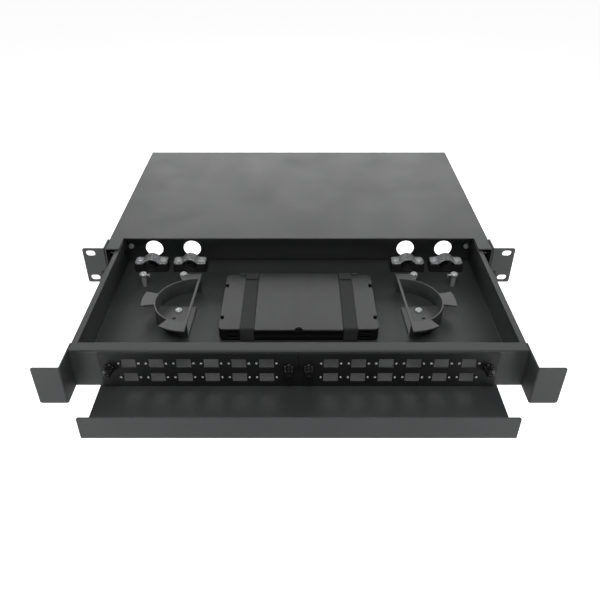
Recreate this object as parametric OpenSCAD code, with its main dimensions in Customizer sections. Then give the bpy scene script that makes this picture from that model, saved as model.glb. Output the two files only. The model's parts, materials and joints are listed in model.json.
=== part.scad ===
// Drawer-type fibre termination box, one rack unit high, for a 19-inch rack.
// The drawer is modelled pulled out, which is its rest position.
// X points to the right, Y to the back and Z up. The origin is the centre of
// the four rack slots, on the front faces of the ears. Lengths are millimetres.

/* [Rack ears] */
// Distance across the outer edges of both ears
rack_w = 482.6; // [480:0.1:486]
// Distance between the left and right slot centres
slot_span_x = 465.1; // [463:0.1:467]
// Distance between the upper and lower slot centres
slot_span_z = 31.75; // [30:0.05:33]
// End-to-end length of a rack slot
slot_len = 10.4; // [9:0.1:12]
// Height of a rack slot
slot_h = 6.8; // [6:0.1:7.4]
// Thickness of the ear plates
ear_t = 2.0; // [1.5:0.1:2.5]
// Length of the ear leg that lies along the sleeve
ear_leg = 22; // [18:1:30]

/* [Sleeve] */
// Outer width of the sleeve
sleeve_w = 432; // [428:1:436]
// Outer height of the sleeve
sleeve_h = 44; // [43:0.1:44.4]
// Depth of the sleeve
sleeve_d = 281.6; // [270:0.1:320]
// Depth of the recess in the front edge of the top
recess_d = 23.3; // [15:0.1:30]
// Width of the land beside the recess
recess_land = 16; // [12:1:30]
// Width of the lips folded in under the sleeve
sleeve_lip = 9; // [5:1:9]

/* [Drawer] */
// Thickness of the folded sheet of the sleeve and the drawer
sheet_t = 1.2; // [1:0.1:1.5]
// Outer radius of a bend in the sheet
bend_r = 1.8; // [1.6:0.1:2.4]
// Outer width of the drawer
drawer_w = 410.4; // [409:0.2:411]
// Depth of the drawer from its front wall to its rear wall
drawer_d = 221.3; // [210:0.1:225]
// How far the drawer's front wall stands in front of the ears when open
drawer_out = 175; // [172:0.5:178]
// Depth of the flange along the top of the front wall
beam_d = 12.4; // [11:0.1:16]
// Width of the flanges along the tops of the side walls
side_flange = 5.5; // [5:0.5:8]

/* [Brackets and tray] */
// How far the bracket flanges stand in front of the front wall
bracket_reach = 23.5; // [18:0.5:30]
// Width of a bracket flange
bracket_w = 25.5; // [18:0.5:26]
// Thickness of the brackets
bracket_t = 1.2; // [1:0.1:1.5]
// Half of the width of the front tray
tray_half_w = 183; // [178:0.5:190]
// How far the tray stands in front of the front wall
tray_reach = 65; // [50:0.5:80]
// Height of the upturned lip of the tray
tray_lip = 24.7; // [15:0.1:30]

/* [Adapter panels] */
// Width of one adapter panel
panel_w = 179; // [178:0.5:180]
// Thickness of an adapter panel
panel_t = 1.5; // [1.2:0.1:2]
// Number of port columns in one panel
port_cols = 6; // [1:1:6]
// Distance between port columns
port_pitch = 24.8; // [22:0.1:25]
// Distance between the two rows of ports
row_pitch = 16.5; // [14:0.1:17]
// Width of a port
port_w = 13.3; // [12.8:0.1:13.6]
// Height of a port
port_h = 9.5; // [9:0.1:10]
// Distance between the two nuts beside a port
nut_span = 18; // [17.5:0.1:18.2]

/* [Fittings] */
// Diameter of the cable holes in the rear wall
cable_hole_d = 20.5; // [16:0.5:22]
// Distance between the two cable holes on one side
cable_pitch = 45; // [42:0.5:48]
// Radius of the winding wall of a spool
spool_r = 41.5; // [36:0.5:44]
// Height of a spool
spool_h = 17.6; // [12:0.1:20]
// Width of the splice trays
splice_w = 160; // [140:1:164]
// Depth of the splice trays
splice_d = 99; // [90:1:104]
// Width of the hook-and-loop straps
strap_w = 14; // [10:1:18]

/* [Hidden] */
$fn = 48;
eps = 0.5;
run = 0.05;

// Colours
coat = "#2f3134";
plastic = "#1b1c1e";
black_zinc = "#26272a";
zinc = "#b9bcc0";
bright = "#e2e4e6";
strap_colour = "#242527";

// Sleeve and drawer levels
half_w = sleeve_w / 2;
half_d = drawer_w / 2;
top_z = sleeve_h / 2;
drawer_z0 = -top_z + sheet_t;
drawer_z1 = top_z - sheet_t - 1;
drawer_h = drawer_z1 - drawer_z0;
floor_z = drawer_z0 + sheet_t;
front_y = -drawer_out;
rear_y = front_y + drawer_d;
wall_y = front_y + sheet_t;

// Slides: u counts outwards from the drawer's side wall to the sleeve's
slide_z = (drawer_z0 + drawer_z1) / 2;
slide_gap = half_w - sheet_t - half_d;
slide_h = 27;
slide_web = 1.2;
outer_y0 = 8;
outer_y1 = 258;
outer_tip_u = 1.9;
inner_y0 = front_y + beam_d;
inner_y1 = rear_y + 14;
inner_reach = 6;
ball_r = 1.5;
ball_u = 4;
ball_z = 10.8;
ball_pitch = 6.5;
ball_count = 7;
race_r = ball_r + run;
race_gap = 1;
cage_t = 0.7;
cage_u0 = 2.2;
cage_u1 = 7;
cage_y0 = 12;
cage_len = 44;
slide_screw_r = 2;
outer_screw_y = [30, 135, 240];
inner_screw_y = [rear_y - 14, front_y + 25];

// Rear tie, between the lips under the sleeve
tie_d = 24;
tie_rise = 5;
tie_rivet_y = sleeve_d - 14;

// Ear fastenings
ear_screw_y = 13;
ear_screw_z = 13;
plug_x = half_w + 7;
plug_z = -10;
plug_r = 1.7;

// Rear wall and its fastenings
rear_foot_d = 8;
corner_tab_w = 14.5;
corner_tab_h = 24;
corner_screw_x = half_d - 6;

// Front wall, brackets and tray fastenings
beam_lip = 6.5;
tab_d = 10;
bracket_z1 = drawer_z1 + 0.6;
bracket_screw_y = front_y + 6;
bracket_screw_z = [slide_z - 16.3, slide_z + 16.3];
tray_tuck = 20;
tray_screw_y = front_y + 7;
corner_r = 2.2;

// Adapter panels
panel_x0 = 0.3;
panel_z0 = drawer_z0 + 0.4;
panel_z1 = drawer_z1 - 1.2;
panel_y = front_y - panel_t;
port_x = 91;
port_z = (panel_z0 + panel_z1) / 2 - 0.5;
window_w = (port_cols - 1) * port_pitch + nut_span + 6;
window_h = row_pitch + port_h + 3;
tray_screw_x = [port_x - 2 * port_pitch, port_x + 2 * port_pitch];
nut_r = 1.6;
nut_head_r = 2.3;
nut_bore_r = 0.8;

// Latches
latch_x = [-171, -9, 9, 171];
latch_z = port_z + 3;
latch_bore_r = 1.85;
latch_barrel_r = 3.1;
latch_barrel_len = 8.5;
latch_flange_r = 5.8;
latch_flange_t = 2.2;
knob_len = 6.5;

// Cable entry
cable_x = [-127 - cable_pitch, -127, 127, 127 + cable_pitch];
cable_z = -3.9;
block_w = 38;
block_d = 16;
block_h = 10.2;
block_y = 17;
block_top = floor_z + block_h;
trough_r = 8.6;
arch_rise = 5.8;
arch_half = 8.6;
arch_r = (arch_half * arch_half + arch_rise * arch_rise) / (2 * arch_rise);
saddle_t = 1.5;
saddle_screw_x = 13.8;

// Strength member posts
post_x = [-174.2, -129, 129, 174.2];
post_y = -11.5;
post_r = 2.8;
post_h = 14;
spigot_r = 2;
tag_reach = 7.4;

// Spools
spool_x = 110;
spool_y = -64.5;
spool_toe = 2.5;
spool_wall = 1.6;
spool_base = 2;
tab_r = [54, 55, 51.2];
tab_arc = [[-90, -59], [-14, 14], [62, 90]];
tab_t = 1.8;
rail_w = 2.6;
base_y1 = 9;
spool_screw = [18, 1.4];
spare_hole = [20.2, -12.5];

// Splice trays
splice_y = -62;
foot_h = 1.6;
splice_z0 = floor_z + foot_h;
splice_tray_h = 6;
cover_t = 1.5;
cover_z = splice_z0 + 2 * splice_tray_h;
strap_x = 51.6;
strap_t = 1.2;
strap_gap = 0.2;

// ---------- Helpers ----------

// Extrudes a profile drawn in X and Z from y0 to y1
module along_y(y0, y1) {
    translate([0, y1, 0]) rotate([90, 0, 0]) linear_extrude(y1 - y0) children();
}

// Extrudes a profile drawn in Y and Z from x0 to x1
module along_x(x0, x1) {
    translate([x0, 0, 0]) rotate([90, 0, 90]) linear_extrude(x1 - x0) children();
}

// Keeps a right-hand piece, or mirrors it to the left
module on_side(side) {
    if (side < 0) mirror([1, 0, 0]) children();
    else children();
}

// Draws a piece on both sides
module on_both_sides() {
    for (side = [-1, 1]) on_side(side) children();
}

module box(x, y, z) {
    translate([x[0], y[0], z[0]]) cube([x[1] - x[0], y[1] - y[0], z[1] - z[0]]);
}

// Rectangle from corner a to corner b
module rect(a, b) {
    translate(a) square(b - a);
}

// Rectangle from corner a to corner b with rounded corners
module round_rect(a, b, r) {
    rect(a + [r, 0], b - [r, 0]);
    rect(a + [0, r], b - [0, r]);
    for (x = [a[0] + r, b[0] - r], y = [a[1] + r, b[1] - r]) translate([x, y]) circle(r);
}

// Straight cylinder along Y from y0 to y1
module rod_y(r, y0, y1) {
    translate([0, y1, 0]) rotate([90, 0, 0]) cylinder(r = r, h = y1 - y0);
}

// Straight cylinder along X from x0 to x1
module rod_x(r, x0, x1) {
    translate([x0, 0, 0]) rotate([0, 90, 0]) cylinder(r = r, h = x1 - x0);
}

// Section of a folded sheet channel: floor, walls and lips turned in at the top
module channel_section(w, h, lip) {
    inner_r = bend_r - sheet_t;
    difference() {
        round_rect([-w / 2, 0], [w / 2, h], bend_r);
        round_rect([-w / 2 + sheet_t, sheet_t], [w / 2 - sheet_t, h - sheet_t], inner_r);
        rect([-w / 2 + lip, h - 2 * sheet_t], [w / 2 - lip, h + eps]);
    }
}

// What a bend takes off a square edge along X; the edge is at the origin and
// the sheet lies towards +Y and +Z
module bend_cut_x(x0, x1) {
    along_x(x0, x1) difference() {
        rect([-eps, -eps], [bend_r, bend_r]);
        translate([bend_r, bend_r]) circle(bend_r);
    }
}

// What rounding takes off a plate corner; the corner is at the origin, the
// plate lies towards +X and +Z, and the cut runs from y0 to y1
module corner_cut_y(r, y0, y1) {
    along_y(y0, y1) difference() {
        rect([-eps, -eps], [r, r]);
        translate([r, r]) circle(r);
    }
}

// Pan-head screw with a cross recess; the head stands on z = 0, the shank hangs down
module pan_screw(r, shank, head_r, head_h) {
    difference() {
        union() {
            translate([0, 0, -shank]) cylinder(r = r, h = shank + head_h / 2);
            cylinder(r = head_r, h = head_h * 0.6);
            translate([0, 0, head_h * 0.6]) cylinder(r1 = head_r, r2 = head_r * 0.72, h = head_h * 0.4);
        }
        for (turn = [0, 90]) rotate([0, 0, turn])
            box([-head_r * 0.5, head_r * 0.5], [-0.3, 0.3], [head_h * 0.5, head_h + eps]);
    }
}

// ---------- Sleeve ----------

module sleeve_cover() {
    color(coat) difference() {
        union() {
            along_y(0, sleeve_d)
                translate([0, top_z]) mirror([0, 1]) channel_section(sleeve_w, sleeve_h, sleeve_lip);
            // Stiffening lip turned down along the rear edge of the top
            box([-half_w + 3, half_w - 3], [sleeve_d - sheet_t, sleeve_d], [top_z - 8, top_z - sheet_t / 2]);
        }
        box([-half_w + recess_land, half_w - recess_land], [-eps, recess_d], [top_z - 2 * sheet_t, top_z + eps]);
        translate([0, sleeve_d, top_z]) mirror([0, 1, 0]) mirror([0, 0, 1]) bend_cut_x(-half_w - eps, half_w + eps);
        on_both_sides() {
            for (z = [-ear_screw_z, ear_screw_z])
                translate([0, ear_screw_y, z]) rod_x(1.55, half_w - 3, half_w + eps);
            for (y = outer_screw_y)
                translate([0, y, slide_z]) rod_x(slide_screw_r + run, half_w - 3, half_w + eps);
            translate([half_w - sleeve_lip / 2, tie_rivet_y, -top_z - eps]) cylinder(r = 1.65, h = 3);
        }
    }
}

module rear_tie() {
    color(coat) difference() {
        union() {
            box([-half_w + 2, half_w - 2], [sleeve_d - tie_d, sleeve_d - 2], [drawer_z0, floor_z]);
            box([-half_w + 2, half_w - 2], [sleeve_d - 2 - sheet_t, sleeve_d - 2], [drawer_z0, drawer_z0 + tie_rise]);
        }
        on_both_sides() translate([half_w - sleeve_lip / 2, tie_rivet_y, drawer_z0 - eps]) cylinder(r = 1.65, h = 3);
    }
}

module tie_rivets() {
    color(zinc) on_both_sides() translate([half_w - sleeve_lip / 2, tie_rivet_y, 0]) {
        translate([0, 0, -top_z]) cylinder(r = 1.6, h = 2 * sheet_t);
        translate([0, 0, floor_z]) cylinder(r = 3, h = 1);
    }
}

module ear_section() {
    difference() {
        union() {
            rect([half_w, 0], [half_w + ear_t, ear_leg]);
            rect([half_w, 0], [rack_w / 2, ear_t]);
        }
        difference() {
            rect([half_w - eps, -eps], [half_w + ear_t, ear_t]);
            translate([half_w + ear_t, ear_t]) circle(ear_t);
        }
    }
}

module ear(side) {
    color(coat) on_side(side) difference() {
        translate([0, 0, -top_z]) linear_extrude(sleeve_h) ear_section();
        for (z = [-slot_span_z, slot_span_z] / 2) along_y(-eps, ear_t + eps)
            round_rect([slot_span_x - slot_len, 2 * z - slot_h] / 2, [slot_span_x + slot_len, 2 * z + slot_h] / 2,
                       slot_h / 2 - 0.001);
        for (flip = [0, 1]) mirror([0, 0, flip])
            translate([rack_w / 2, 0, -top_z]) mirror([1, 0, 0]) corner_cut_y(corner_r, -eps, ear_t + eps);
        for (z = [-ear_screw_z, ear_screw_z])
            translate([0, ear_screw_y, z]) rod_x(1.65, half_w - eps, half_w + ear_t + eps);
        translate([plug_x, 0, plug_z]) rod_y(plug_r + run, -eps, ear_t + eps);
    }
}

module ear_screws() {
    color(black_zinc) on_both_sides() for (z = [-ear_screw_z, ear_screw_z])
        translate([half_w + ear_t, ear_screw_y, z]) rotate([0, 90, 0]) pan_screw(1.5, ear_t + sheet_t, 3.2, 2);
}

// Snap-in plugs that close the lower holes of the ears
module ear_plugs() {
    color(plastic) on_both_sides() translate([plug_x, 0, plug_z]) {
        rod_y(plug_r, -eps, ear_t + 1);
        rod_y(plug_r + 0.7, -1, 0);
        rod_y(plug_r, -1.4, -0.9);
    }
}

// ---------- Slides ----------

module slide_outer(side) {
    inner_face = ball_z + race_gap;
    color(black_zinc) on_side(side) difference() {
        translate([half_d, 0, slide_z]) along_y(outer_y0, outer_y1) difference() {
            rect([outer_tip_u, -slide_h / 2], [slide_gap, slide_h / 2]);
            rect([outer_tip_u - eps, -inner_face], [slide_gap - slide_web, inner_face]);
            for (z = [-ball_z, ball_z]) translate([ball_u, z]) circle(race_r);
        }
        for (y = outer_screw_y)
            translate([0, y, slide_z]) rod_x(slide_screw_r + run, half_w - 6, half_w);
    }
}

module slide_outer_screws() {
    color(black_zinc) on_both_sides() for (y = outer_screw_y)
        translate([half_d + slide_gap - slide_web, y, slide_z]) rotate([0, -90, 0])
            pan_screw(slide_screw_r, slide_web + sheet_t, 3.5, 1.2);
}

// Brings the pieces that ride on the balls to the middle of the slide
module in_slide(side) {
    on_side(side) translate([half_d, cage_y0, slide_z]) children();
}

module ball_cage(side) {
    color(black_zinc) in_slide(side) difference() {
        along_y(0, cage_len) difference() {
            rect([cage_u0, -ball_z - cage_t / 2], [cage_u1, ball_z + cage_t / 2]);
            rect([cage_u0 - eps, -ball_z + cage_t / 2], [cage_u1 - cage_t, ball_z - cage_t / 2]);
        }
        for (i = [0 : ball_count - 1])
            translate([ball_u, cage_len / 2 + (i - (ball_count - 1) / 2) * ball_pitch, -ball_z - 1])
                cylinder(r = ball_r + run, h = 2 * ball_z + 2);
    }
}

module slide_balls(side) {
    color(bright) in_slide(side) for (i = [0 : ball_count - 1], z = [-ball_z, ball_z])
        translate([ball_u, cage_len / 2 + (i - (ball_count - 1) / 2) * ball_pitch, z]) sphere(ball_r);
}

module slide_inner(side) {
    outer_face = ball_z - race_gap;
    color(black_zinc) on_side(side) difference() {
        translate([half_d, 0, slide_z]) along_y(inner_y0, inner_y1) difference() {
            rect([0, -outer_face], [inner_reach, outer_face]);
            rect([slide_web, -outer_face + 1.4], [inner_reach + eps, outer_face - 1.4]);
            for (z = [-ball_z, ball_z]) translate([ball_u, z]) circle(race_r);
        }
        for (y = inner_screw_y)
            translate([0, y, slide_z]) rod_x(slide_screw_r + run, half_d - eps, half_d + slide_web + eps);
    }
}

module slide_inner_screws() {
    color(black_zinc) on_both_sides() for (y = inner_screw_y)
        translate([half_d - sheet_t, y, slide_z]) rotate([0, -90, 0])
            pan_screw(slide_screw_r, 2 * sheet_t + 0.8, 3.2, 1.8);
}

// ---------- Drawer ----------

// Floor and side walls
module drawer_pan() {
    inner_half = half_d - sheet_t;
    pan_y1 = rear_y + rear_foot_d;
    color(coat) difference() {
        union() {
            translate([0, 0, drawer_z0]) along_y(wall_y, pan_y1) channel_section(drawer_w, drawer_h, side_flange);
            // Tabs folded in behind the rear wall
            on_both_sides() box([half_d - corner_tab_w, inner_half + eps], [rear_y, rear_y + sheet_t],
                                [slide_z - corner_tab_h / 2, slide_z + corner_tab_h / 2]);
        }
        // Room for the flange of the front wall
        box([-half_d - eps, half_d + eps], [wall_y - eps, front_y + beam_d], [drawer_z1 - bend_r, drawer_z1 + eps]);
        // Room for the rear wall
        box([-inner_half, inner_half], [rear_y - sheet_t, rear_y], [floor_z, drawer_z1 + eps]);
        difference() {
            box([-inner_half, inner_half], [rear_y - eps, rear_y + sheet_t + eps], [floor_z, drawer_z1 + eps]);
            on_both_sides() box([half_d - corner_tab_w, half_d], [rear_y, rear_y + sheet_t],
                                [slide_z - corner_tab_h / 2, slide_z + corner_tab_h / 2]);
        }
        box([-half_d - eps, half_d + eps], [rear_y + sheet_t, pan_y1 + eps], [floor_z, drawer_z1 + eps]);
        on_both_sides() {
            translate([corner_screw_x, 0, slide_z]) rod_y(1.55, rear_y - eps, rear_y + 3);
            for (y = inner_screw_y)
                translate([0, y, slide_z]) rod_x(slide_screw_r + run, half_d - 3, half_d + eps);
            for (z = bracket_screw_z)
                translate([0, bracket_screw_y, z]) rod_x(1.55, half_d - 3, half_d + eps);
            for (x = tray_screw_x) translate([x, tray_screw_y, drawer_z0 - eps]) cylinder(r = 1.55, h = 3);
            translate([spool_x, spool_y, drawer_z0 - eps]) rotate([0, 0, spool_toe])
                translate(spool_screw) cylinder(r = 1.55, h = 3);
        }
        for (x = post_x) translate([x, post_y, drawer_z0 - eps]) cylinder(r = spigot_r + run, h = 3);
        for (x = cable_x, s = [-1, 1])
            translate([x + s * saddle_screw_x, block_y + block_d / 2, drawer_z0 - eps]) cylinder(r = 1.55, h = 3);
    }
}

// Rear wall, with a flange at the top and a foot on the drawer's floor
module drawer_rear() {
    half_rear = half_d - sheet_t - 0.1;
    half_flange = half_d - side_flange - 0.3;
    color(coat) difference() {
        union() {
            along_y(rear_y - sheet_t, rear_y) rect([-half_rear, floor_z], [half_rear, drawer_z1]);
            box([-half_flange, half_flange], [rear_y - side_flange, rear_y], [drawer_z1 - sheet_t, drawer_z1]);
            box([-half_rear + 1, half_rear - 1], [rear_y - sheet_t, rear_y + rear_foot_d], [floor_z, floor_z + sheet_t]);
        }
        translate([0, rear_y, drawer_z1]) mirror([0, 1, 0]) mirror([0, 0, 1])
            bend_cut_x(-half_d - eps, half_d + eps);
        translate([0, rear_y - sheet_t, floor_z]) bend_cut_x(-half_d - eps, half_d + eps);
        for (x = cable_x) translate([x, 0, cable_z]) rod_y(cable_hole_d / 2, rear_y - 3, rear_y + eps);
        on_both_sides() translate([corner_screw_x, 0, slide_z]) rod_y(1.65, rear_y - 3, rear_y + eps);
    }
}

module corner_screws() {
    color(bright) on_both_sides() translate([corner_screw_x, rear_y - sheet_t, slide_z]) rotate([90, 0, 0])
        pan_screw(1.5, 2 * sheet_t, 3.4, 2.2);
}

module drawer_front() {
    beam_y = front_y + beam_d;
    color(coat) difference() {
        union() {
            along_y(front_y, wall_y) rect([-half_d, drawer_z0], [half_d, drawer_z1]);
            box([-half_d, half_d], [front_y, beam_y], [drawer_z1 - sheet_t, drawer_z1]);
            box([-half_d + 1.4, half_d - 1.4], [beam_y - sheet_t, beam_y], [drawer_z1 - beam_lip, drawer_z1]);
            // Flange that stands on the drawer's floor
            box([-half_d + 2.5, half_d - 2.5], [front_y, front_y + tab_d], [floor_z, floor_z + sheet_t]);
            // Tabs against the side walls
            on_both_sides() box([half_d - 2 * sheet_t, half_d - sheet_t], [front_y, front_y + tab_d],
                                [floor_z + 1, drawer_z1 - sheet_t / 2]);
        }
        translate([0, front_y, drawer_z1]) mirror([0, 0, 1]) bend_cut_x(-half_d - eps, half_d + eps);
        on_both_sides() {
            along_y(front_y - eps, wall_y + eps) translate([port_x, port_z])
                round_rect(-[window_w, window_h] / 2, [window_w, window_h] / 2, 2);
            for (z = bracket_screw_z)
                translate([0, bracket_screw_y, z]) rod_x(1.55, half_d - 4, half_d);
            for (x = tray_screw_x) translate([x, tray_screw_y, floor_z - eps]) cylinder(r = 1.55, h = 3);
        }
        for (x = latch_x) translate([x, 0, latch_z]) rod_y(latch_barrel_r + run, front_y - eps, wall_y + eps);
    }
}

module bracket(side) {
    flange_y = front_y - bracket_reach;
    plate_y1 = front_y + beam_d - 1;
    color(coat) on_side(side) difference() {
        translate([half_d, 0, drawer_z0]) linear_extrude(bracket_z1 - drawer_z0) difference() {
            union() {
                rect([0, flange_y], [bracket_t, plate_y1]);
                rect([0, flange_y], [bracket_w, flange_y + bracket_t]);
            }
            difference() {
                rect([-eps, flange_y - eps], [bend_r, flange_y + bend_r]);
                translate([bend_r, flange_y + bend_r]) circle(bend_r);
            }
        }
        for (up = [0, 1]) translate([half_d + bracket_w, 0, up ? bracket_z1 : drawer_z0])
            mirror([1, 0, 0]) mirror([0, 0, up]) corner_cut_y(corner_r, flange_y - eps, flange_y + bracket_t + eps);
        for (z = bracket_screw_z)
            translate([0, bracket_screw_y, z]) rod_x(1.65, half_d - eps, half_d + bracket_t + eps);
    }
}

module bracket_screws() {
    color(zinc) on_both_sides() for (z = bracket_screw_z)
        translate([half_d + bracket_t, bracket_screw_y, z]) rotate([0, 90, 0])
            pan_screw(1.5, bracket_t + 2 * sheet_t, 2.6, 1.8);
}

module front_tray() {
    lip_y = front_y - tray_reach;
    color(coat) difference() {
        union() {
            box([-tray_half_w, tray_half_w], [lip_y, front_y + tray_tuck], [-top_z, drawer_z0]);
            box([-tray_half_w, tray_half_w], [lip_y, lip_y + sheet_t], [-top_z, -top_z + tray_lip]);
        }
        translate([0, lip_y, -top_z]) bend_cut_x(-tray_half_w - eps, tray_half_w + eps);
        on_both_sides() {
            translate([tray_half_w, 0, -top_z + tray_lip]) mirror([1, 0, 0]) mirror([0, 0, 1])
                corner_cut_y(corner_r, lip_y - eps, lip_y + sheet_t + eps);
            for (x = tray_screw_x) translate([x, tray_screw_y, -top_z - eps]) cylinder(r = 1.55, h = 3);
        }
    }
}

module tray_screws() {
    color(black_zinc) on_both_sides() for (x = tray_screw_x)
        translate([x, tray_screw_y, floor_z + sheet_t]) pan_screw(1.5, 3 * sheet_t, 2.9, 1.8);
}

// ---------- Adapter panels ----------

// Runs its children at every port centre of the right-hand panel
module at_ports() {
    for (c = [0 : port_cols - 1], row = [-0.5, 0.5])
        translate([port_x + (c - (port_cols - 1) / 2) * port_pitch, 0, port_z + row * row_pitch]) children();
}

module adapter_panel(side) {
    color(plastic) on_side(side) difference() {
        along_y(panel_y, front_y) round_rect([panel_x0, panel_z0], [panel_x0 + panel_w, panel_z1], 1);
        at_ports() {
            box([-port_w / 2, port_w / 2], [panel_y - eps, front_y + eps], [-port_h / 2, port_h / 2]);
            for (s = [-1, 1]) translate([s * nut_span / 2, 0, 0]) rod_y(nut_r + 0.02, panel_y - eps, front_y + eps);
        }
        for (i = [2, 3]) translate([latch_x[i], 0, latch_z])
            rod_y(latch_barrel_r + run, panel_y - eps, front_y + eps);
    }
}

module adapter_nuts(side) {
    color(zinc) on_side(side) at_ports() for (s = [-1, 1]) translate([s * nut_span / 2, 0, 0]) difference() {
        union() {
            rod_y(nut_r, panel_y, front_y + 0.4);
            rod_y(nut_head_r, front_y, front_y + 1.4);
        }
        rod_y(nut_bore_r, panel_y - eps, front_y + 2);
    }
}

module latch_grommets() {
    color(plastic) for (x = latch_x) translate([x, 0, latch_z]) difference() {
        union() {
            rod_y(latch_flange_r, panel_y - latch_flange_t, panel_y);
            rod_y(latch_barrel_r, panel_y - eps, panel_y + latch_barrel_len);
            // Barbs behind the front wall
            rod_y(latch_barrel_r + 0.8, wall_y, wall_y + 2);
        }
        rod_y(latch_bore_r, panel_y - 4, panel_y + latch_barrel_len + eps);
        // The legs spread when the plunger is pushed in
        for (turn = [0, 90]) rotate([0, turn, 0])
            box([-0.5, 0.5], [wall_y + 0.3, panel_y + latch_barrel_len + eps], [-5, 5]);
    }
}

module latch_plunger(i) {
    knob_y = panel_y - latch_flange_t - 0.1;
    color(plastic) translate([latch_x[i], 0, latch_z]) {
        rod_y(latch_bore_r - run, knob_y - eps, panel_y + latch_barrel_len - 0.5);
        rod_y(3.4, knob_y - knob_len + 0.5, knob_y);
        // Grip rings
        for (k = [0 : 2]) rod_y(4.7 - 0.2 * k, knob_y - 1.9 - 2.6 * k, knob_y - 2.6 * k);
        rod_y(3.2, knob_y - knob_len, knob_y - knob_len + 1);
    }
}

// ---------- Cable entry ----------

module clamp_blocks() {
    color(plastic) for (x = cable_x) translate([x, block_y, 0]) difference() {
        box([-block_w / 2, block_w / 2], [0, block_d], [floor_z, block_top]);
        translate([0, 0, block_top]) rod_y(trough_r, -eps, block_d + eps);
        for (s = [-1, 1]) translate([s * saddle_screw_x, block_d / 2, floor_z - eps])
            cylinder(r = 1.55, h = block_h + 2 * eps);
    }
}

module saddle_section() {
    arch_z = block_top + arch_rise - arch_r;
    difference() {
        union() {
            rect([-block_w / 2 + 0.4, block_top], [block_w / 2 - 0.4, block_top + saddle_t]);
            intersection() {
                translate([0, arch_z]) circle(arch_r + saddle_t);
                rect([-block_w / 2, block_top], [block_w / 2, block_top + 20]);
            }
        }
        translate([0, arch_z]) circle(arch_r);
    }
}

module cable_saddles() {
    color(bright) for (x = cable_x) translate([x, block_y, 0]) difference() {
        along_y(0.3, block_d - 0.3) saddle_section();
        for (s = [-1, 1]) translate([s * saddle_screw_x, block_d / 2, block_top - eps]) cylinder(r = 1.65, h = 3);
    }
}

module saddle_screws() {
    color(bright) for (x = cable_x, s = [-1, 1])
        translate([x + s * saddle_screw_x, block_y + block_d / 2, block_top + saddle_t])
            pan_screw(1.5, saddle_t + block_h + sheet_t, 4, 2.6);
}

module strength_posts() {
    color(zinc) for (x = post_x) translate([x, post_y, 0]) difference() {
        union() {
            translate([0, 0, floor_z]) cylinder(r = post_r, h = post_h);
            translate([0, 0, drawer_z0]) cylinder(r = spigot_r, h = 2 * sheet_t);
        }
        translate([0, 0, floor_z + post_h - 8]) cylinder(r = 1.55, h = 9);
    }
}

// Small pressure plates under the post screws; their bent ends point to the middle
module post_tags() {
    color(zinc) for (x = post_x) translate([x, post_y, floor_z + post_h]) mirror([x > 0 ? 1 : 0, 0, 0]) difference() {
        union() {
            cylinder(r = 3.4, h = 0.8);
            box([0, tag_reach], [-1.5, 1.5], [0, 0.8]);
            box([tag_reach - 0.8, tag_reach], [-1.5, 1.5], [-2.4, 0.8]);
        }
        translate([0, 0, -eps]) cylinder(r = 1.65, h = 2);
    }
}

module post_screws() {
    dome_r = 4.2;
    dome_h = 3.2;
    ball = (dome_r * dome_r + dome_h * dome_h) / (2 * dome_h);
    color(bright) for (x = post_x) translate([x, post_y, floor_z + post_h + 0.8]) {
        translate([0, 0, -7]) cylinder(r = 1.5, h = 8);
        intersection() {
            translate([0, 0, dome_h - ball]) sphere(ball);
            cylinder(r = dome_r + 1, h = dome_h);
        }
    }
}

// ---------- Spools ----------

// Half of a disc, flat side on the Y axis
module half_disc(r, x0) {
    intersection() {
        circle(r, $fn = 96);
        rect([x0, -r - 1], [r + 1, r + 1]);
    }
}

module sector(a0, a1, r) {
    far = r / cos((a1 - a0) / 2) + 1;
    polygon([[0, 0], far * [cos(a0), sin(a0)], far * [cos(a1), sin(a1)]]);
}

module spool(side) {
    color(plastic) on_side(side) translate([spool_x, spool_y, floor_z]) rotate([0, 0, spool_toe]) difference() {
        union() {
            // Base, open at the back
            linear_extrude(spool_base) intersection() {
                half_disc(spool_r, 0);
                rect([0, -spool_r], [spool_r, base_y1]);
            }
            linear_extrude(spool_h) difference() {
                half_disc(spool_r, 0);
                half_disc(spool_r - spool_wall, -eps);
            }
            // Rail that ties the ends of the wall together
            translate([0, 0, spool_h - tab_t]) linear_extrude(tab_t) intersection() {
                half_disc(spool_r, 0);
                rect([0, -spool_r], [rail_w, spool_r]);
            }
            // Tabs that keep the fibre on the wall
            translate([0, 0, spool_h - tab_t]) linear_extrude(tab_t) for (i = [0 : 2]) intersection() {
                difference() {
                    circle(tab_r[i], $fn = 96);
                    circle(spool_r - 1, $fn = 96);
                }
                sector(tab_arc[i][0], tab_arc[i][1], tab_r[i]);
            }
        }
        for (hole = [spool_screw, spare_hole]) translate(hole) translate([0, 0, -eps]) cylinder(r = 1.65, h = 4);
    }
}

module spool_screws() {
    color(bright) on_both_sides() translate([spool_x, spool_y, floor_z + spool_base]) rotate([0, 0, spool_toe])
        translate(spool_screw) pan_screw(1.5, spool_base + sheet_t, 3.8, 2.4);
}

// ---------- Splice trays ----------

module splice_outline(inset) {
    a = [splice_w, splice_d] / 2 - [inset, inset];
    translate([0, splice_y]) round_rect(-a, a, 5 - inset);
}

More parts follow.
